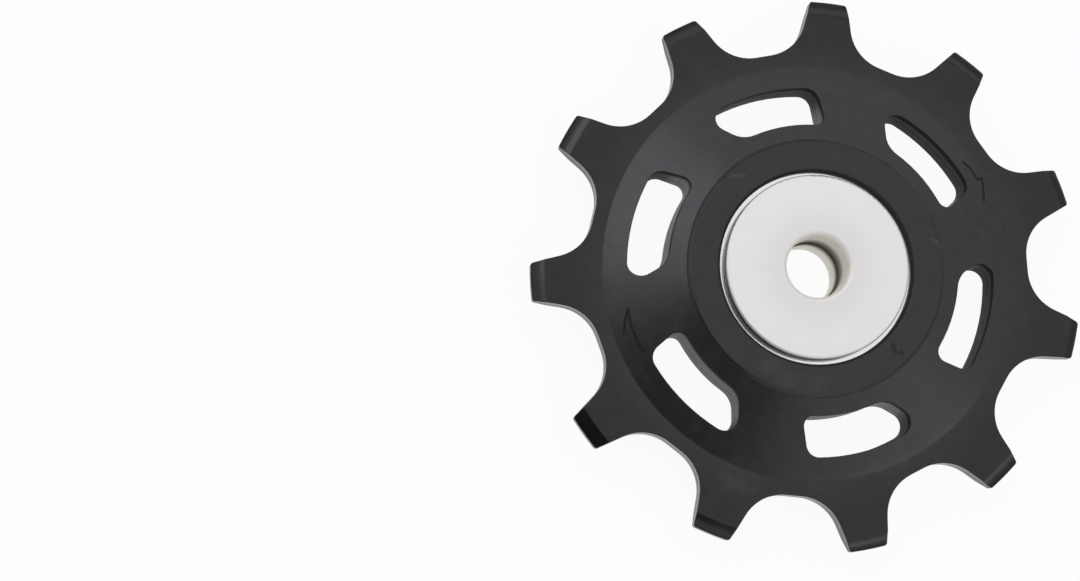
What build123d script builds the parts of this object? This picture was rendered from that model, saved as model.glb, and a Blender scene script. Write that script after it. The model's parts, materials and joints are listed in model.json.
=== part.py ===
from build123d import *
import os
from math import cos, pi, radians, sin

# Guide pulley of a bicycle rear derailleur: a toothed wheel on a sealed ball bearing,
# clamped between two turned caps. Sizes are in millimetres.
# The axle bore is the Z axis, its middle is the origin, and a tooth gap faces +X.

# Chain and teeth
chain_pitch = 12.7
tooth_count = 11
roller_diameter = 7.75
root_clearance = 0.065
tip_addendum = 0.74
seat_tightness = 0.175
seat_play = 1.3
tooth_flank_angle = 11.2
tip_corner_radius = 0.25
tooth_width = 1.6
tip_bevel_length = 1.15
tip_bevel_depth = 0.45

# Wheel body
rim_band = 1.2
hub_wall = 2.65
hub_front_step = 0.2
hub_rear_step = 1.4
hub_draft = 0.1
web_rear_land = 0.6
hub_edge_bevel = 0.15
pocket_depth = 0.55
pocket_mouth_bevel = 0.25
rear_lip_thickness = 0.55
rear_lip_height = 0.2

# Windows through the web
slot_count = 6
slot_start_angle = 82.95
slot_sweep = 36.65
slot_tail_slant = 15.2
slot_nose_slant = 27.8
slot_inner_land = 1.45
slot_outer_land = 1.95
slot_outer_corner = 1.15
slot_tail_corner = 0.85
slot_nose_corner = 1.95
slot_corner_room = 3.2

# Sealed ball bearing
bearing_bore = 8.0
bearing_outer = 16.0
bearing_width = 5.0
ball_count = 11
ball_diameter = 2.0
raceway_clearance = 0.03
land_gap = 1.6
seal_thickness = 0.45
seal_setback = 0.4
seal_skin_setback = 0.15
seal_bite = 0.15
seal_land_step = 0.35
seal_lip_step = 0.2
seal_lip_clearance = 0.05
cage_sheet = 0.25
cage_ring_width = 1.1
cage_cup_length = 0.8
cage_pocket_clearance = 0.06

# Caps
axle_bore = 5.1
cap_rim_gap = 0.35
cap_flange_thickness = 0.8
cap_shoulder_height = 0.2
cap_shoulder_setback = 0.1
cap_edge_round = 0.2
cap_mouth_round = 0.4
sleeve_gap = 0.6
sleeve_chamfer = 0.25
spigot_clearance = 0.01

# How near counts as the same place when edges are picked
match = 0.001

# Wheel radii, outward from the bearing and inward from the chain
half_pitch_angle = pi / tooth_count
pitch_radius = chain_pitch / 2 / sin(half_pitch_angle)
root_radius = pitch_radius - roller_diameter / 2 - root_clearance
tip_radius = pitch_radius + tip_addendum
seat_radius = roller_diameter / 2 - seat_tightness
rim_radius = root_radius - rim_band
pocket_radius = bearing_outer / 2
hub_radius = pocket_radius + hub_wall
slot_inner_radius = hub_radius + slot_inner_land
slot_outer_radius = rim_radius - slot_outer_land

# Heights above the middle plane
tooth_face = tooth_width / 2
bearing_face = bearing_width / 2
hub_front = bearing_face + pocket_depth
hub_rear = bearing_face + rear_lip_thickness
web_rear = hub_rear - hub_rear_step
cap_seat = bearing_face + cap_shoulder_height
cap_face = cap_seat + cap_flange_thickness
seal_outside = bearing_face - seal_setback
seal_inside = seal_outside - seal_thickness

# Bearing radii
ball_radius = ball_diameter / 2
ball_circle = (bearing_bore + bearing_outer) / 4
inner_land = ball_circle - land_gap / 2
outer_land = ball_circle + land_gap / 2
seal_seat = outer_land + seal_land_step
lip_land = inner_land - seal_lip_step
cup_radius = ball_radius + cage_pocket_clearance + cage_sheet


def turned(*corners):
    """Solid turned about Z from corners given as radius and height."""
    return revolve(make_face(Plane.XZ * Polyline(*corners, close=True)), Axis.Z)


def circles_at(solid, radius, height):
    """Circular edges of one radius at one height."""
    circles = solid.edges().filter_by(GeomType.CIRCLE)
    return [e for e in circles if abs(e.radius - radius) < match and abs(e.arc_center.Z - height) < match]


def corners_at(sketch, radius):
    """Corners of a flat outline that lie at one distance from the axle."""
    return sketch.vertices().filter_by(lambda v: abs(Vector(v.X, v.Y).length - radius) < match)


def around(count):
    """Evenly spaced turns about Z."""
    return [Rot(0, 0, k * 360 / count) for k in range(count)]


def tooth_gap():
    """Chain roller seat facing +X: root flat, two seat arcs and straight flanks."""
    flank = tooth_flank_angle + 180 / tooth_count
    reach = tip_radius - root_radius
    seat = CenterArc((root_radius + seat_radius, seat_play / 2), seat_radius, 180, flank - 90)
    top = seat @ 1 + Vector(cos(radians(flank)), sin(radians(flank))) * reach
    upper = [seat, Line(seat @ 1, top)]
    lower = [mirror(edge, Plane.XZ) for edge in upper]
    root = Line((root_radius, -seat_play / 2), (root_radius, seat_play / 2))
    mouth = Line(top, (top.X, -top.Y))
    return make_face([root, *upper, mouth, *lower])


def tooth_outline():
    """Toothed disc seen along the axle, with the tip corners rounded."""
    outline = Circle(tip_radius) - [turn * tooth_gap() for turn in around(tooth_count)]
    return fillet(corners_at(outline, tip_radius), tip_corner_radius)


def slot_end(angle, slant, reach):
    """Point on a slanted slot end, measured along the end from the slot's middle radius."""
    middle = (slot_inner_radius + slot_outer_radius) / 2
    foot = Vector(middle, 0).rotate(Axis.Z, angle)
    return foot + Vector(reach, 0).rotate(Axis.Z, angle + slant)


def slot_outline():
    """One swept window: an arc band between two slanted ends, with corners that shrink in a low band."""
    reach = slot_outer_radius - slot_inner_radius
    half = slot_sweep / 2
    tail = [slot_end(-half, slot_tail_slant, step) for step in (-reach, reach)]
    nose = [slot_end(half, slot_nose_slant, step) for step in (reach, -reach)]
    wedge = make_face(Polyline(*tail, *nose, close=True))
    window = (Circle(slot_outer_radius) - Circle(slot_inner_radius)) & wedge
    shrink = min(1, reach / slot_corner_room)
    window = fillet(corners_at(window, slot_outer_radius), slot_outer_corner * shrink)
    window = fillet(corners_at(window, slot_inner_radius).sort_by(Axis.Y)[0], slot_tail_corner * shrink)
    window = fillet(corners_at(window, slot_inner_radius).sort_by(Axis.Y)[-1], slot_nose_corner * shrink)
    return Rot(0, 0, slot_start_angle + half) * window


def toothed_wheel():
    """Moulded wheel: bearing hub, dished web with windows, and bevelled teeth."""
    tip_face = tooth_face - tip_bevel_depth
    bevel_start = tip_radius - tip_bevel_length
    hub_foot = hub_radius + hub_draft
    lip_radius = pocket_radius - rear_lip_height
    blank = turned(
        (pocket_radius, -bearing_face),
        (pocket_radius, hub_front),
        (hub_radius, hub_front),
        (hub_foot, hub_front - hub_front_step),
        (rim_radius, tooth_face),
        (bevel_start, tooth_face),
        (tip_radius, tip_face),
        (tip_radius, -tip_face),
        (bevel_start, -tooth_face),
        (rim_radius, -tooth_face),
        (slot_outer_radius + web_rear_land, -web_rear),
        (hub_foot, -web_rear),
        (hub_radius, -hub_rear),
        (lip_radius, -hub_rear),
        (lip_radius, -bearing_face),
    )
    hub_edges = circles_at(blank, hub_radius, hub_front) + circles_at(blank, hub_radius, -hub_rear)
    blank = chamfer(hub_edges, hub_edge_bevel)
    blank = chamfer(circles_at(blank, pocket_radius, hub_front), pocket_mouth_bevel)
    wheel = blank & extrude(tooth_outline(), hub_front + hub_rear, both=True)
    window = extrude(slot_outline(), hub_front + hub_rear, both=True)
    return wheel - [turn * window for turn in around(slot_count)]


def raceway():
    """Ring swept by the balls, with running clearance."""
    return Torus(ball_circle, ball_radius + raceway_clearance)


def outer_race():
    """Outer bearing ring with a ball groove and a snap groove for each seal."""
    return turned(
        (outer_land, seal_inside),
        (seal_seat + seal_bite, seal_inside),
        (seal_seat + seal_bite, seal_outside),
        (seal_seat, seal_outside),
        (seal_seat, bearing_face),
        (pocket_radius, bearing_face),
        (pocket_radius, -bearing_face),
        (seal_seat, -bearing_face),
        (seal_seat, -seal_outside),
        (seal_seat + seal_bite, -seal_outside),
        (seal_seat + seal_bite, -seal_inside),
        (outer_land, -seal_inside),
    ) - raceway()


def inner_race():
    """Inner bearing ring with a ball groove and a lower land under each seal lip."""
    bore = bearing_bore / 2
    return turned(
        (bore, bearing_face),
        (lip_land, bearing_face),
        (lip_land, seal_inside),
        (inner_land, seal_inside),
        (inner_land, -seal_inside),
        (lip_land, -seal_inside),
        (lip_land, -bearing_face),
        (bore, -bearing_face),
    ) - raceway()


def seal():
    """Front rubber seal: a bead in the outer ring, a thinner skin and a lip on the inner ring."""
    lip = lip_land + seal_lip_clearance
    skin = seal_outside - seal_skin_setback
    return turned(
        (lip, seal_inside),
        (seal_seat + seal_bite, seal_inside),
        (seal_seat + seal_bite, seal_outside),
        (seal_seat - seal_bite, seal_outside),
        (seal_seat - 2 * seal_bite, skin),
        (lip, skin),
    )


def cage_half():
    """Front half of the pressed ribbon cage: flat lands and a half-round cup over every ball."""
    band = cage_ring_width / 2
    ribbon = Circle(ball_circle + band) - Circle(ball_circle - band)
    spots = [turn * Pos(ball_circle, 0) * Rot(0, 90, 0) for turn in around(ball_count)]
    cups = [split(spot * Cylinder(cup_radius, cage_cup_length), Plane.XY) for spot in spots]
    pockets = [spot * Cylinder(cup_radius - cage_sheet, 2 * cage_ring_width) for spot in spots]
    return extrude(ribbon, cage_sheet) + cups - pockets


def cap():
    """Front cap: flange, shoulder against the inner ring and half of the axle sleeve."""
    bore = axle_bore / 2
    spigot = bearing_bore / 2 - spigot_clearance
    shoulder = lip_land - cap_shoulder_setback
    flange = pocket_radius - cap_rim_gap
    sleeve_end = sleeve_gap / 2
    body = turned(
        (bore + sleeve_chamfer, sleeve_end),
        (spigot, sleeve_end),
        (spigot, bearing_face),
        (shoulder, bearing_face),
        (shoulder, cap_seat),
        (flange, cap_seat),
        (flange, cap_face),
        (bore, cap_face),
        (bore, sleeve_end + sleeve_chamfer),
    )
    body = fillet(circles_at(body, flange, cap_face), cap_edge_round)
    return fillet(circles_at(body, bore, cap_face), cap_mouth_round)


def pieces():
    """Every piece of the pulley by name."""
    named = {
        "toothed_wheel": toothed_wheel(),
        "bearing_outer_race": outer_race(),
        "bearing_inner_race": inner_race(),
    }
    for kind, make in (("seal", seal), ("cap", cap), ("cage_half", cage_half)):
        named["front_" + kind] = make()
        named["rear_" + kind] = mirror(make(), Plane.XY)
    for k, turn in enumerate(around(ball_count), 1):
        named[f"ball_{k:02d}"] = turn * Pos(ball_circle, 0) * Sphere(ball_radius)
    return named


os.makedirs("parts", exist_ok=True)
for name, piece in pieces().items():
    export_step(piece, f"parts/{name}.step")
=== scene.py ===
import json
from math import cos, radians, sin

import bpy
from mathutils import Matrix, Vector


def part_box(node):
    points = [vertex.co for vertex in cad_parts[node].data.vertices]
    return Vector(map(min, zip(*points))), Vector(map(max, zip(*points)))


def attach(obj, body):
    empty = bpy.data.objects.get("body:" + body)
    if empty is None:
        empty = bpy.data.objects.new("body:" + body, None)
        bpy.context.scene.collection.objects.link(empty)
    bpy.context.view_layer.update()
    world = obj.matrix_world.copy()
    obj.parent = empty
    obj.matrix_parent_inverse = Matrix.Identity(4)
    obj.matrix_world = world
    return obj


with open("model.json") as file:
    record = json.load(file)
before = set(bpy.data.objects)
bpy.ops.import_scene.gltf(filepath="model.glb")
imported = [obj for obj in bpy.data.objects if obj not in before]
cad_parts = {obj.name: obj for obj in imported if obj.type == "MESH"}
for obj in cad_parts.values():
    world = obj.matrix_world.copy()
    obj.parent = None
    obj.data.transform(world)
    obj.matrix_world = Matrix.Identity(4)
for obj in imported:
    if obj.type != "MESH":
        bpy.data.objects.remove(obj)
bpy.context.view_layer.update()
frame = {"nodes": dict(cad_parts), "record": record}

# Lengths are in metres, and MM turns a size in millimetres into metres.
MM = 0.001
WHITE = (1.0, 1.0, 1.0)


def grey(level, tint=WHITE):
    """Opaque colour of one level with a tint."""
    return (level * tint[0], level * tint[1], level * tint[2], 1.0)


# Picture that the camera matches, in pixels, the sensor in millimetres and the nearest distance seen
PHOTO_WIDTH = 1080
FOCAL_PIXELS = 2200
SENSOR_WIDTH = 36.0
CLIP_START = 0.01

# Camera pose: the wheel is turned about its axle, moved off the picture's centre, tipped and pushed away
WHEEL_TURN = radians(2.0)
WHEEL_OFFSET = Vector((22.575, 1.584)) * MM
TIP_FORWARD = radians(-8.99)
TIP_SIDEWAYS = radians(6.59)
CAMERA_DISTANCE = 179.4 * MM

# Sizes from the frame in millimetres: bearing pocket, hub face, cap edge, cap face and axle bore
POCKET_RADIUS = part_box("bearing_outer_race")[1].x / MM
HUB_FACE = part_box("toothed_wheel")[1].z / MM
CAP_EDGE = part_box("front_cap")[1].x / MM
CAP_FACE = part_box("front_cap")[1].z / MM
AXLE_BORE = next(m["dims"]["r_mm"] for m in frame["record"]["mounts"] if m["name"] == "axle_bore")

# Dished web in millimetres: the radius and height of its top and its foot, and the slope between them
WEB_TOP = (10.75, 2.85)
WEB_FOOT = (17.4, 0.8)
WEB_SLOPE = (WEB_FOOT[1] - WEB_TOP[1]) / (WEB_FOOT[0] - WEB_TOP[0])

# Down to the noise levels, a pair of numbers is where a mask starts to change and where it ends.
# Radii on the wheel: outer walls of the windows, end of the windows, step at the web's foot, darker teeth
OUTER_WALLS = (13.4, 14.8)
WINDOW_END = (16.0, 16.5)
FOOT_STEP = (16.9, 17.4)
TOOTH_SHADE = (16.4, 20.5)

# Heights on the wheel: the front, the parting line to either side and the brink down from the web
FRONT_HEIGHT = (0.2, 0.5)
SEAM_REACH = (0.08, 0.3)
BRINK_DEPTH = (0.4, 1.0)

# Bevel at the pocket's mouth, with painted light: its width out from the pocket and its depth down from
# the hub face
MOUTH_WIDTH = (0.3, 0.4)
MOUTH_DEPTH = (0.25, 0.35)

# Tip bevels of the teeth: the radius where they start, their length, how far the shading rounds them, and
# the share of their length where the gloss sets in
TIP_START = 22.05
TIP_LENGTH = 1.2
TIP_ROUND = 0.3
TIP_EDGE = (0.0, 0.3)

# How far a surface faces along the axle, from a wall at 0 to a flat at 1
WALL_FACING = (0.08, 0.25)
FLAT_FACING = (0.5, 0.8)
SLANT_FACING = (0.8, 0.95)

# Bore of the caps: its reach past the axle bore, and the heights of its front and rear ends, pale outside
# the painted shade
BORE_REACH = (0.05, 0.4)
UNSHADED_FRONT = (0.2, 2.0)
UNSHADED_REAR = (-1.6, -0.3)

# Edge of the caps, darkened with painted shade: the rounding and the side in from the edge, the side's top
# and foot down from the face, and the share of the darker painted shade on the rounding
ROUND_EDGE = (0.15, 0.25)
SIDE_REACH = (0.05, 0.15)
SIDE_TOP = (0.08, 0.3)
SIDE_FOOT = (0.65, 0.8)
ROUND_SHADE = 0.45

# Radii where the brown of the inner ring's bore ends, a bore that shows between the cap sleeves
RACE_BORE = (4.05, 4.15)

# Levels of a noise pattern, for a wide spread and for patches
NOISE_SPREAD = (0.2, 0.8)
NOISE_PATCHES = (0.35, 0.7)

# Plastic: base roughness, refraction, gloss of the raised marks and rounding of its edges
PLASTIC_ROUGHNESS = 0.2
PLASTIC_IOR = 1.48
MARK_GLOSS = 0.27
EDGE_ROUND = 0.12

# Stretch of the flow marks round the axle and of the streaks on the window walls
FLOW_STRETCH = 3.0
STREAK_STRETCH = (0.5, 0.5, 2.6)

# Tints of the plastic: the moulded skin, the dull window walls and the gloss
COOL = (0.99, 0.96, 1.1)
OLIVE = (1.04, 1.0, 0.82)
SHEEN = (1.0, 0.975, 1.045)

# Tints of the metal: turned caps, pale bore, brown bores, balls, and the dark and pale of the cage strip
WARM = (1.0, 0.977, 0.977)
CREAM = (1.0, 0.985, 0.945)
BROWN = (1.0, 0.82, 0.62)
BALL_TINT = (1.0, 0.99, 0.97)
STRIP_DARK_TINT = (1.0, 0.96, 0.88)
STRIP_PALE_TINT = (1.0, 0.96, 0.9)

# Colours of the wheel's skin, teeth, painted light on the pocket mouth, and wear
SKIN_DARK = grey(0.009, COOL)
SKIN_PALE = grey(0.013, COOL)
SKIN_BLOTCH = grey(0.02, COOL)
SKIN_FLOW = grey(0.019, COOL)
TOOTH_DARK = grey(0.001, COOL)
TOOTH_PALE = grey(0.006, COOL)
MOUTH_PAINTED_LIGHT = grey(0.045, COOL)
SCRATCH_COLOUR = grey(0.05, COOL)
HAZE_COLOUR = grey(0.04, COOL)
NICK_COLOUR = grey(0.003)
MARK_DARK = grey(0.002)
MARK_PALE = grey(0.006, COOL)

# Colours of the window walls, of the outer ones among them darkened as painted shade, of the parting line
# and of the brink
WALL_DARK = grey(0.025, OLIVE)
WALL_PALE = grey(0.075, OLIVE)
OUTER_SHADE_DARK = grey(0.006, OLIVE)
OUTER_SHADE_PALE = grey(0.02, OLIVE)
SEAM_COLOUR = grey(0.006, OLIVE)
BRINK_COLOUR = grey(0.004, OLIVE)

# Colours of the caps and the bearing
CAP_DARK = grey(0.775, WARM)
CAP_PALE = grey(0.865, WARM)
# Painted shade on the caps' rounded edge and on their side under the flange
CAP_ROUND_SHADE_COLOUR = grey(0.55, WARM)
FLANGE_SHADE_COLOUR = grey(0.03, WARM)
# Painted shade with a brown stain in the middle of the caps' bore, and the bore's pale ends
BORE_SHADE_AND_STAIN = grey(0.22, BROWN)
BORE_PALE = grey(0.95, CREAM)
RACE_DARK = grey(0.82)
RACE_PALE = grey(0.9, WARM)
# Darker brown on the inner ring's bore
RACE_BORE_BROWN = grey(0.65, BROWN)
BALL_DARK = grey(0.66)
BALL_PALE = grey(0.72, BALL_TINT)
STRIP_DARK = grey(0.42, STRIP_DARK_TINT)
STRIP_PALE = grey(0.56, STRIP_PALE_TINT)
RUBBER_DARK = grey(0.012)
RUBBER_PALE = grey(0.022)

# Direction arrows moulded in the front: strokes through points given as radius and degrees, and the
# width, height and step length of their ribs, in millimetres
ARROWS = {
    "arrow_left": (
        ((15.65, -156.5), (15.8, -160.0), (15.85, -165.5), (15.75, -170.7)),
        ((15.75, -170.7), (16.65, -163.7)),
    ),
    "arrow_right": (
        ((16.25, 33.1), (16.5, 30.0), (16.5, 26.1)),
        ((16.45, 26.1), (17.0, 26.1)),
        ((17.0, 26.3), (16.1, 19.5)),
    ),
}
ARROW_LINE = 0.22
ARROW_CREST = 0.03
ARROW_STEP = 0.4

# Wear on the front, as lines through points in millimetres, the widths of the lines, and the shares of a
# width where a line starts to fade and where it ends
PALE_SCRATCHES = (
    ((-6.63, 7.8), (-5.54, 7.85)),
    ((9.75, 2.05), (10.2, 1.85), (10.62, 1.4)),
)
PALE_SMUDGES = (
    ((-4.6, -8.0), (-3.85, -8.65), (-2.5, -9.3), (-0.85, -9.6), (1.05, -9.6)),
    ((3.4, -16.35), (4.95, -16.35), (6.5, -15.9)),
    ((-8.4, -16.7), (-7.35, -17.1), (-6.1, -17.4)),
)
DARK_NICKS = (
    ((5.79, -6.67), (6.1, -7.38)),
    ((6.45, -7.3), (6.6, -7.45)),
)
SCRATCH_LINE = 0.25
SMUDGE_LINE = 1.8
NICK_LINE = 0.35
LINE_CORE = 0.2
LINE_EDGE = 0.6

# Dome: its brightness, that of the dark patches and that near the horizon, the horizon's band in degrees,
# and each patch's azimuth, elevation, core and edge in degrees
DOME_LEVEL = 0.92
PATCH_LEVEL = 0.12
HORIZON_LEVEL = 0.45
HORIZON_START = 15
HORIZON_END = 42
DARK_PATCHES = ((231, 70, 12, 25), (215, 38, 14, 30))

# Soft boxes: their distance, and each one's azimuth and elevation in degrees, width, height and power
BOX_DISTANCE = 0.5
SOFT_BOXES = (
    (131, 57, 0.27, 0.25, 0.28),
    (66, 41, 0.55, 0.24, 0.1),
    (309, 42, 0.42, 0.09, 0.13),
)

# Floor: a hair under the rear cap, white with a faint shadow
FLOOR_GAP = 0.01 * MM
FLOOR_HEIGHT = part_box("rear_cap")[0].z - FLOOR_GAP
FLOOR_SIZE = 4.0
FLOOR_SHADOW = 0.06
FLOOR_COLOUR = grey(0.9)
FLOOR_ROUGHNESS = 0.9

# Vector operations whose result is a number
NUMBER_RESULTS = ("LENGTH", "DISTANCE", "DOT_PRODUCT")


def put(tree, socket, value):
    """Links a socket to another node's output, or sets its value."""
    if isinstance(value, bpy.types.NodeSocket):
        tree.links.new(value, socket)
    else:
        socket.default_value = value


def node(tree, kind, inputs=None, **settings):
    """Adds a shader node with its settings and inputs."""
    made = tree.nodes.new("ShaderNode" + kind)
    for name, value in settings.items():
        setattr(made, name, value)
    for name, value in (inputs or {}).items():
        put(tree, made.inputs[name], value)
    return made


def maths(tree, operation, *values, clamp=False):
    """Output of a Math node."""
    made = node(tree, "Math", dict(enumerate(values)), operation=operation, use_clamp=clamp)
    return made.outputs[0]


def vectors(tree, operation, *values):
    """Output of a Vector Math node."""
    made = node(tree, "VectorMath", dict(enumerate(values)), operation=operation)
    return made.outputs["Value" if operation in NUMBER_RESULTS else "Vector"]


def product(tree, *values):
    """Product of values."""
    result = values[0]
    for value in values[1:]:
        result = maths(tree, "MULTIPLY", result, value)
    return result


def total(tree, *terms, start=0.0):
    """Start plus a sum of values, each times its weight."""
    result = start
    for value, weight in terms:
        result = maths(tree, "MULTIPLY_ADD", value, weight, result)
    return result


def ramp(tree, value, low, high, start=0.0, end=1.0):
    """Smooth step of a value: start below low, end above high."""
    made = node(tree, "MapRange", interpolation_type="SMOOTHSTEP")
    for socket, number in zip(made.inputs, (value, low, high, start, end)):
        put(tree, socket, number)
    return made.outputs[0]


def fade(tree, value, low, high):
    """Smooth step down of a value: 1 below low, 0 above high."""
    return ramp(tree, value, low, high, 1.0, 0.0)


def spread(tree, pattern, start, end):
    """Numbers from start to end that follow a noise pattern."""
    return ramp(tree, pattern, *NOISE_SPREAD, start, end)


def patches(tree, pattern):
    """Noise pattern drawn out to patches of 0 and 1."""
    return ramp(tree, pattern, *NOISE_PATCHES)


def blend(tree, factor, first, second):
    """Mix of two colours."""
    made = node(tree, "Mix", data_type="RGBA")
    for socket, value in zip((made.inputs[0], made.inputs[6], made.inputs[7]), (factor, first, second)):
        put(tree, socket, value)
    return made.outputs[2]


def layer(tree, base, colour, mask, strength=1.0):
    """Base with a colour laid over it where a mask is 1."""
    return blend(tree, product(tree, mask, strength), base, colour)


def combined(tree, *parts):
    """Vector made of its parts."""
    return node(tree, "CombineXYZ", dict(enumerate(parts))).outputs[0]


def part(tree, vector, axis):
    """One part of a vector."""
    return node(tree, "SeparateXYZ", {0: vector}).outputs[axis]


def noise(tree, place, scale, detail=2.0, roughness=0.5, distortion=0.0):
    """Noise pattern from 0 to 1, in waves per millimetre."""
    made = node(tree, "TexNoise", {"Vector": place, "Scale": scale, "Detail": detail,
                                   "Roughness": roughness, "Distortion": distortion})
    return made.outputs[0]


def bump(tree, height, distance, normal=None):
    """Surface normal roughened by a height pattern, with its depth in metres."""
    made = node(tree, "Bump", {"Height": height, "Distance": distance, "Strength": 1.0})
    if normal is not None:
        put(tree, made.inputs["Normal"], normal)
    return made.outputs[0]


def material(name):
    """New node material, its tree, its shader and the piece's own coordinates in millimetres."""
    made = bpy.data.materials.new(name)
    made.use_nodes = True
    tree = made.node_tree
    shader = tree.nodes["Principled BSDF"]
    own = node(tree, "TexCoord").outputs["Object"]
    place = vectors(tree, "MULTIPLY", own, (1 / MM, 1 / MM, 1 / MM))
    return made, tree, shader, place


def flattened(tree, place):
    """Place seen along the axle."""
    return vectors(tree, "MULTIPLY", place, (1.0, 1.0, 0.0))


def polar(tree, place):
    """Distance from the axle, angle about it and height."""
    radius = vectors(tree, "LENGTH", flattened(tree, place))
    angle = maths(tree, "ARCTAN2", part(tree, place, "Y"), part(tree, place, "X"))
    return radius, angle, part(tree, place, "Z")


def upright(tree):
    """How far the surface faces along the axle, from 0 on a wall to 1 on a flat."""
    normal = node(tree, "NewGeometry").outputs["Normal"]
    return maths(tree, "ABSOLUTE", part(tree, normal, "Z"))


def line_mask(tree, place, points, width):
    """1 along a line through points seen along the axle, fading to 0 at its sides."""
    flat = flattened(tree, place)
    nearest = width
    for start, end in zip(points, points[1:]):
        span = (Vector(end) - Vector(start)).to_3d()
        away = vectors(tree, "SUBTRACT", flat, Vector(start).to_3d())
        reach = vectors(tree, "DOT_PRODUCT", away, span)
        share = maths(tree, "DIVIDE", reach, span.length_squared, clamp=True)
        gap = vectors(tree, "DISTANCE", away, vectors(tree, "MULTIPLY", span, share))
        nearest = maths(tree, "MINIMUM", nearest, gap)
    return fade(tree, nearest, LINE_CORE * width, LINE_EDGE * width)


def all_lines(tree, place, lines, width):
    """Mask of several lines at once."""
    mask = 0.0
    for points in lines:
        mask = maths(tree, "MAXIMUM", mask, line_mask(tree, place, points, width))
    return mask


def web_height(radius):
    """Height of the dished web at a radius, in millimetres."""
    return WEB_TOP[1] + (min(radius, WEB_FOOT[0]) - WEB_TOP[0]) * WEB_SLOPE


def window_walls(tree, radius, height, level):
    """Masks of the window walls, of the outer ones among them and of the brink under the web's surface."""
    wall = product(tree, fade(tree, level, *WALL_FACING), fade(tree, radius, *WINDOW_END))
    outer = product(tree, wall, ramp(tree, radius, *OUTER_WALLS))
    surface = maths(tree, "MULTIPLY_ADD", radius, WEB_SLOPE, web_height(0.0))
    below = maths(tree, "SUBTRACT", surface, height)
    return wall, outer, product(tree, wall, fade(tree, below, *BRINK_DEPTH))


def pocket_mouth(tree, radius, height, level):
    """Mask of the bevel at the mouth of the bearing pocket."""
    near = fade(tree, maths(tree, "SUBTRACT", radius, POCKET_RADIUS), *MOUTH_WIDTH)
    top = fade(tree, maths(tree, "SUBTRACT", HUB_FACE, height), *MOUTH_DEPTH)
    return product(tree, near, top, fade(tree, level, *SLANT_FACING))


def tooth_tips(tree, radius, level):
    """Mask of the tip bevels, and the bulge that rounds them."""
    along = maths(tree, "DIVIDE", maths(tree, "SUBTRACT", radius, TIP_START), TIP_LENGTH, clamp=True)
    flats = ramp(tree, level, *FLAT_FACING)
    bulge = product(tree, along, maths(tree, "SUBTRACT", 1.0, along), flats)
    return product(tree, ramp(tree, along, *TIP_EDGE), flats), bulge


def front_wear(tree, place, height):
    """Masks of the scratches, the hazy smudges and the nicks on the front."""
    front = ramp(tree, height, *FRONT_HEIGHT)
    patchy = patches(tree, noise(tree, place, 0.7))
    scratch = product(tree, all_lines(tree, place, PALE_SCRATCHES, SCRATCH_LINE), front)
    haze = product(tree, all_lines(tree, place, PALE_SMUDGES, SMUDGE_LINE), front, patchy)
    nick = product(tree, all_lines(tree, place, DARK_NICKS, NICK_LINE), front)
    return scratch, haze, nick


def skin_colour(tree, place, radius, flow):
    """Colour of the moulded skin, blotchy and darker on the teeth."""
    drift = noise(tree, place, 0.16, detail=3.0, roughness=0.55)
    blotch = patches(tree, noise(tree, place, 0.8, detail=4.0, roughness=0.6, distortion=0.5))
    web = blend(tree, drift, SKIN_DARK, SKIN_PALE)
    web = layer(tree, web, SKIN_BLOTCH, blotch, strength=0.6)
    web = layer(tree, web, SKIN_FLOW, flow, strength=0.5)
    teeth = blend(tree, blotch, TOOTH_DARK, TOOTH_PALE)
    return layer(tree, web, teeth, ramp(tree, radius, *TOOTH_SHADE))


def wall_colour(tree, place, outer, brink, seam):
    """Colour of the window walls, streaky with a dark parting line, a dark brink and painted shade on the
    outer walls.
    """
    stretched = vectors(tree, "MULTIPLY", place, STREAK_STRETCH)
    streak = patches(tree, noise(tree, stretched, 1.0, detail=4.0, roughness=0.6))
    sides = blend(tree, streak, WALL_DARK, WALL_PALE)
    # Painted shade: a darker copy of the wall colours on the outer walls
    sides = layer(tree, sides, blend(tree, streak, OUTER_SHADE_DARK, OUTER_SHADE_PALE), outer)
    sides = layer(tree, sides, SEAM_COLOUR, seam, strength=0.6)
    return layer(tree, sides, BRINK_COLOUR, brink, strength=0.9)


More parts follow.
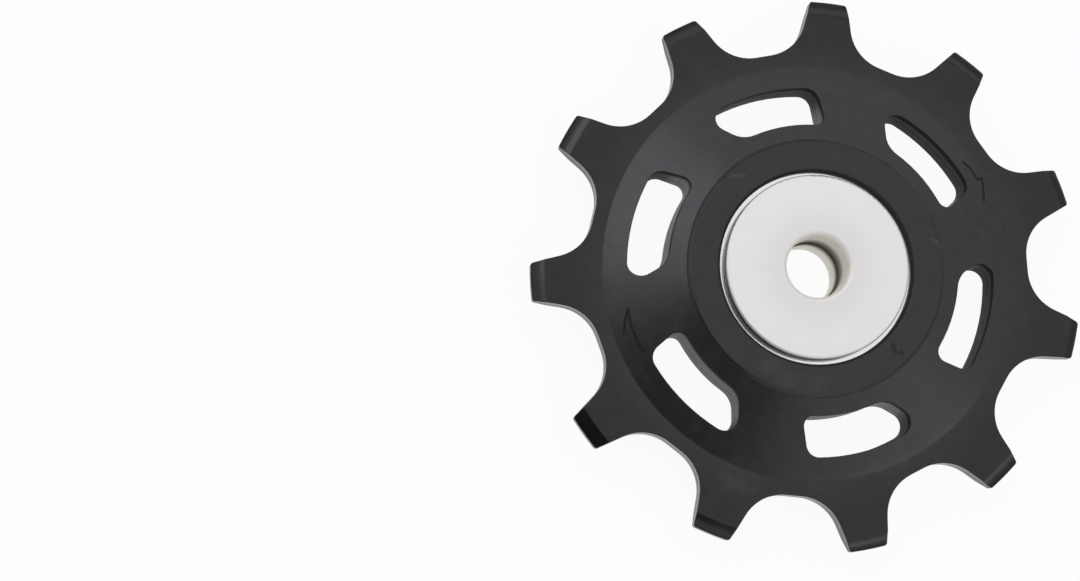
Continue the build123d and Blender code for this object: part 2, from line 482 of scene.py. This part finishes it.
def moulded_plastic():
    """Black acetal: satin skin with flow marks, streaky window walls with a parting line, light wear."""
    made, tree, shader, place = material("moulded_plastic")
    radius, angle, height = polar(tree, place)
    level = upright(tree)
    wall, outer, brink = window_walls(tree, radius, height, level)
    tip, bulge = tooth_tips(tree, radius, level)
    scratch, haze, nick = front_wear(tree, place, height)
    seam = fade(tree, maths(tree, "ABSOLUTE", height), *SEAM_REACH)
    foot = fade(tree, radius, *FOOT_STEP)
    grain = noise(tree, place, 9.0, detail=3.0, roughness=0.6)
    smudge = ramp(tree, noise(tree, place, 0.4, detail=5.0, roughness=0.6, distortion=0.8), 0.45, 0.75)
    unrolled = combined(tree, radius, product(tree, angle, FLOW_STRETCH))
    flow = ramp(tree, noise(tree, unrolled, 0.9, detail=4.0, roughness=0.55, distortion=0.4), 0.5, 0.8)

    colour = skin_colour(tree, place, radius, flow)
    colour = layer(tree, colour, wall_colour(tree, place, outer, brink, seam), wall)
    # Painted light on the bevel at the pocket's mouth
    colour = layer(tree, colour, MOUTH_PAINTED_LIGHT, pocket_mouth(tree, radius, height, level))
    colour = layer(tree, colour, SCRATCH_COLOUR, scratch, strength=0.6)
    colour = layer(tree, colour, HAZE_COLOUR, haze, strength=0.5)
    put(tree, shader.inputs["Base Color"], layer(tree, colour, NICK_COLOUR, nick))

    dullness = (
        (grain, 0.1),
        (smudge, 0.05),
        (flow, 0.04),
        (wall, 0.24),
        (brink, 0.4),
        (outer, 0.25),
        (haze, 0.1),
        (nick, 0.3),
        (tip, -0.06),
    )
    put(tree, shader.inputs["Roughness"], total(tree, *dullness, start=PLASTIC_ROUGHNESS))
    relief = total(tree, (grain, 0.002), (nick, -0.03), (seam, -0.03), (foot, 0.012), (bulge, TIP_ROUND))
    rounded = node(tree, "Bevel", {"Radius": EDGE_ROUND * MM}, samples=4).outputs[0]
    put(tree, shader.inputs["Normal"], bump(tree, relief, MM, rounded))
    shader.inputs["IOR"].default_value = PLASTIC_IOR
    shader.inputs["Specular Tint"].default_value = grey(1.0, SHEEN)
    return made


def turned_aluminium():
    """Satin turned aluminium: faint lathe rings, a fine blasted grain, painted shade in the stained bore
    and at the edge.
    """
    made, tree, shader, place = material("turned_aluminium")
    radius, _, height = polar(tree, place)
    past_bore = maths(tree, "SUBTRACT", radius, AXLE_BORE)
    inside = maths(tree, "SUBTRACT", CAP_EDGE, radius)
    under = maths(tree, "SUBTRACT", CAP_FACE, maths(tree, "ABSOLUTE", height))
    grain = noise(tree, place, 7.0, detail=4.0, roughness=0.6)
    cloud = noise(tree, place, 0.5, detail=3.0)
    rings = noise(tree, combined(tree, radius), 6.0)
    bore = fade(tree, past_bore, *BORE_REACH)
    unshaded = maths(tree, "MAXIMUM", ramp(tree, height, *UNSHADED_FRONT), fade(tree, height, *UNSHADED_REAR))
    # Painted shade on the cap's side under the flange's edge
    side = product(tree, ramp(tree, under, *SIDE_TOP), fade(tree, under, *SIDE_FOOT))
    flange_shade = product(tree, fade(tree, inside, *SIDE_REACH), side)

    bright = total(tree, (ramp(tree, radius, AXLE_BORE, 0.8 * CAP_EDGE), 0.7), (cloud, 0.3))
    colour = blend(tree, bright, CAP_DARK, CAP_PALE)
    # Painted shade with a brown stain in the bore's middle, pale towards its ends
    colour = layer(tree, colour, blend(tree, unshaded, BORE_SHADE_AND_STAIN, BORE_PALE), bore)
    # Painted shade darkens the rounded edge
    colour = layer(tree, colour, CAP_ROUND_SHADE_COLOUR, fade(tree, inside, *ROUND_EDGE), strength=ROUND_SHADE)
    put(tree, shader.inputs["Base Color"], layer(tree, colour, FLANGE_SHADE_COLOUR, flange_shade))
    put(tree, shader.inputs["Roughness"], total(tree, (bore, 0.4), start=spread(tree, grain, 0.42, 0.52)))
    put(tree, shader.inputs["Normal"], bump(tree, total(tree, (grain, 0.003), (rings, 0.0015)), MM))
    shader.inputs["Metallic"].default_value = 1.0
    return made


def ground_steel():
    """Ground bearing steel with fine turning lines and a brown bore."""
    made, tree, shader, place = material("ground_steel")
    radius, _, height = polar(tree, place)
    lines = noise(tree, combined(tree, radius, height), 14.0)
    cloud = noise(tree, place, 0.8)
    colour = blend(tree, cloud, RACE_DARK, RACE_PALE)
    # Darker brown on the inner ring's bore
    colour = layer(tree, colour, RACE_BORE_BROWN, fade(tree, radius, *RACE_BORE))
    put(tree, shader.inputs["Base Color"], colour)
    put(tree, shader.inputs["Roughness"], spread(tree, lines, 0.12, 0.22))
    put(tree, shader.inputs["Normal"], bump(tree, lines, 0.002 * MM))
    shader.inputs["Metallic"].default_value = 1.0
    return made


def polished_steel():
    """Polished ball steel with a trace of grease haze."""
    made, tree, shader, place = material("polished_steel")
    haze = noise(tree, place, 1.4, detail=3.0)
    put(tree, shader.inputs["Base Color"], blend(tree, haze, BALL_DARK, BALL_PALE))
    put(tree, shader.inputs["Roughness"], ramp(tree, haze, 0.3, 0.7, 0.05, 0.16))
    shader.inputs["Metallic"].default_value = 1.0
    return made


def pressed_steel():
    """Pressed cage strip: warm grey with drawing marks."""
    made, tree, shader, place = material("pressed_steel")
    marks = noise(tree, place, 4.0, detail=4.0, roughness=0.65)
    put(tree, shader.inputs["Base Color"], blend(tree, marks, STRIP_DARK, STRIP_PALE))
    put(tree, shader.inputs["Roughness"], spread(tree, marks, 0.28, 0.45))
    put(tree, shader.inputs["Normal"], bump(tree, marks, 0.004 * MM))
    shader.inputs["Metallic"].default_value = 1.0
    return made


def seal_rubber():
    """Moulded nitrile rubber, matt with a fine skin."""
    made, tree, shader, place = material("seal_rubber")
    skin = noise(tree, place, 6.0, detail=3.0, roughness=0.6)
    put(tree, shader.inputs["Base Color"], blend(tree, skin, RUBBER_DARK, RUBBER_PALE))
    put(tree, shader.inputs["Roughness"], spread(tree, skin, 0.5, 0.65))
    put(tree, shader.inputs["Normal"], bump(tree, skin, 0.004 * MM))
    return made


def moulded_mark():
    """Dull dark plastic of the raised marks."""
    made, tree, shader, place = material("moulded_mark")
    grain = noise(tree, place, 9.0, detail=3.0, roughness=0.6)
    put(tree, shader.inputs["Base Color"], blend(tree, grain, MARK_DARK, MARK_PALE))
    put(tree, shader.inputs["Roughness"], spread(tree, grain, 0.35, 0.5))
    shader.inputs["Specular IOR Level"].default_value = MARK_GLOSS
    return made


def dress(finish, *names):
    """Gives CAD nodes one material."""
    for name in names:
        slots = frame["nodes"][name].data.materials
        slots.clear()
        slots.append(finish)


def polar_point(radius, degrees):
    """Point in the wheel's plane from its radius and angle."""
    turn = radians(degrees)
    return Vector((radius * cos(turn), radius * sin(turn)))


def stroke_path(points):
    """Short steps along a stroke, straight in radius and angle."""
    path = []
    for (near, start), (far, end) in zip(points, points[1:]):
        length = (polar_point(far, end) - polar_point(near, start)).length
        steps = max(1, round(length / ARROW_STEP))
        for k in range(steps):
            path.append(polar_point(near + (far - near) * k / steps, start + (end - start) * k / steps))
    return path + [polar_point(*points[-1])]


def add_rib(corners, faces, path):
    """Low rib along a path on the web, in rows of three corners: two sides at the surface and a crest."""
    for k, spot in enumerate(path):
        ahead = path[min(k + 1, len(path) - 1)] - path[max(k - 1, 0)]
        aside = Vector((-ahead.y, ahead.x)).normalized() * ARROW_LINE / 2
        row = len(corners)
        for place, lift in ((spot - aside, 0.0), (spot, ARROW_CREST), (spot + aside, 0.0)):
            corners.append(Vector((place.x, place.y, web_height(place.length) + lift)) * MM)
        if k:
            faces += [(row - 3, row - 2, row + 1, row), (row - 2, row - 1, row + 2, row + 1)]


def add_arrows():
    """Direction arrows on the front of the wheel."""
    finish = moulded_mark()
    for name, strokes in ARROWS.items():
        corners, faces = [], []
        for points in strokes:
            add_rib(corners, faces, stroke_path(points))
        mesh = bpy.data.meshes.new(name)
        mesh.from_pydata(corners, [], faces)
        mesh.materials.append(finish)
        arrow = bpy.data.objects.new(name, mesh)
        bpy.context.scene.collection.objects.link(arrow)
        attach(arrow, "wheel")


def add_camera():
    """Camera at the photograph's viewing angle."""
    data = bpy.data.cameras.new("camera")
    data.sensor_width = SENSOR_WIDTH
    data.lens = SENSOR_WIDTH * FOCAL_PIXELS / PHOTO_WIDTH
    data.clip_start = CLIP_START
    camera = bpy.data.objects.new("camera", data)
    bpy.context.scene.collection.objects.link(camera)
    pushed = Matrix.Translation((0, 0, -CAMERA_DISTANCE))
    tipped = Matrix.Rotation(TIP_SIDEWAYS, 4, "Y") @ Matrix.Rotation(TIP_FORWARD, 4, "X")
    moved = Matrix.Translation((WHEEL_OFFSET.x, WHEEL_OFFSET.y, -WEB_FOOT[1] * MM))
    camera.matrix_world = (pushed @ tipped @ moved @ Matrix.Rotation(WHEEL_TURN, 4, "Z")).inverted()
    bpy.context.scene.camera = camera


def towards(azimuth, rise):
    """Direction from the wheel at an azimuth and elevation in degrees."""
    across = cos(radians(rise))
    return Vector((cos(radians(azimuth)) * across, sin(radians(azimuth)) * across, sin(radians(rise))))


def add_dome():
    """World light: a pale dome, dimmer near the horizon and in its dark patches, white to the camera."""
    world = bpy.data.worlds.new("dome")
    world.use_nodes = True
    bpy.context.scene.world = world
    tree = world.node_tree
    ray = node(tree, "TexCoord").outputs["Generated"]
    level = DOME_LEVEL
    for azimuth, rise, core, edge in DARK_PATCHES:
        facing = vectors(tree, "DOT_PRODUCT", ray, towards(azimuth, rise))
        patch = ramp(tree, facing, cos(radians(edge)), cos(radians(core)), DOME_LEVEL, PATCH_LEVEL)
        level = maths(tree, "MINIMUM", level, patch)
    band = sin(radians(HORIZON_START)), sin(radians(HORIZON_END))
    level = product(tree, level, ramp(tree, part(tree, ray, "Z"), *band, HORIZON_LEVEL, 1.0))
    seen = node(tree, "LightPath").outputs["Is Camera Ray"]
    strength = maths(tree, "MULTIPLY_ADD", seen, maths(tree, "SUBTRACT", 1.0, level), level)
    put(tree, tree.nodes["Background"].inputs["Strength"], strength)
    tree.nodes["Background"].inputs["Color"].default_value = grey(1.0)


def add_soft_boxes():
    """Soft boxes that face the wheel."""
    for k, (azimuth, rise, width, height, power) in enumerate(SOFT_BOXES, 1):
        data = bpy.data.lights.new(f"soft_box_{k}", "AREA")
        data.shape = "RECTANGLE"
        data.size = width
        data.size_y = height
        data.energy = power
        lamp = bpy.data.objects.new(data.name, data)
        bpy.context.scene.collection.objects.link(lamp)
        away = towards(azimuth, rise)
        lamp.location = away * BOX_DISTANCE
        lamp.rotation_euler = away.to_track_quat("Z", "Y").to_euler()


def floor_material():
    """White that glows to direct rays but for a faint shadow, and is clear from below."""
    made, tree, shader, _ = material("white_floor")
    shader.inputs["Base Color"].default_value = FLOOR_COLOUR
    shader.inputs["Roughness"].default_value = FLOOR_ROUGHNESS
    path = node(tree, "LightPath").outputs
    direct = maths(tree, "ADD", path["Is Camera Ray"], path["Is Glossy Ray"])
    direct = maths(tree, "ADD", direct, path["Is Transmission Ray"], clamp=True)
    glow = node(tree, "Emission", {"Color": grey(1.0), "Strength": 1.0}).outputs[0]
    share = product(tree, direct, 1 - FLOOR_SHADOW)
    mixed = node(tree, "MixShader", {0: share, 1: shader.outputs[0], 2: glow}).outputs[0]
    clear = node(tree, "BsdfTransparent").outputs[0]
    under = node(tree, "NewGeometry").outputs["Backfacing"]
    whole = node(tree, "MixShader", {0: under, 1: mixed, 2: clear}).outputs[0]
    put(tree, tree.nodes["Material Output"].inputs["Surface"], whole)
    return made


def add_floor():
    """Square floor under the wheel."""
    half = FLOOR_SIZE / 2
    mesh = bpy.data.meshes.new("floor")
    square = ((-half, -half), (half, -half), (half, half), (-half, half))
    corners = [(x, y, FLOOR_HEIGHT) for x, y in square]
    mesh.from_pydata(corners, [], [(0, 1, 2, 3)])
    mesh.materials.append(floor_material())
    floor = bpy.data.objects.new("floor", mesh)
    bpy.context.scene.collection.objects.link(floor)


dress(moulded_plastic(), "toothed_wheel")
dress(turned_aluminium(), "front_cap", "rear_cap")
dress(ground_steel(), "bearing_outer_race", "bearing_inner_race")
dress(polished_steel(), *[name for name in frame["nodes"] if name.startswith("ball_")])
dress(pressed_steel(), "front_cage_half", "rear_cage_half")
dress(seal_rubber(), "front_seal", "rear_seal")
add_arrows()
add_camera()
add_dome()
add_soft_boxes()
add_floor()
bpy.context.scene.view_settings.view_transform = "Standard"
